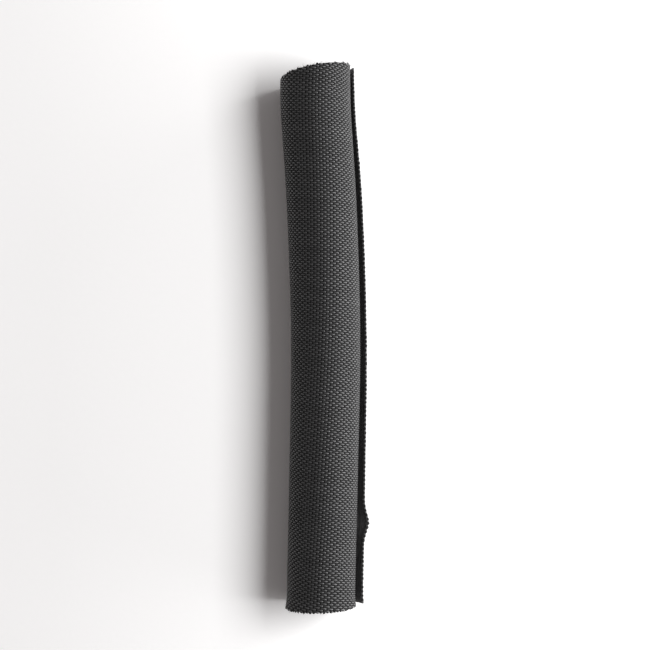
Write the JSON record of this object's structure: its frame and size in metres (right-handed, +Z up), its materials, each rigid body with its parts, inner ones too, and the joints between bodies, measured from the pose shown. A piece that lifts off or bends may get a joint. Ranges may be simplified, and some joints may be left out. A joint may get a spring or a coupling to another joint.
{
  "type": "self-wrapping cable sleeve",
  "caption": "Woven split sleeve that curls round a bundle of cables, its long edges overlapping along one side.",
  "frame": {"origin": "middle of the flat strip that the sleeve rests on, at mid-length", "axes": "+Y along the sleeve towards the slanted cut end, +X towards the side where the free outer edge stands off, +Z up"},
  "size_m": [0.0336, 0.2014, 0.027],
  "materials": {
    "woven_yarn": "dark grey plain weave of plastic monofilament picks over lengthwise yarns, with a low sheen"
  },
  "bodies": {
    "root": {"woven_sleeve": "woven_yarn"}
  },
  "joints": []
}
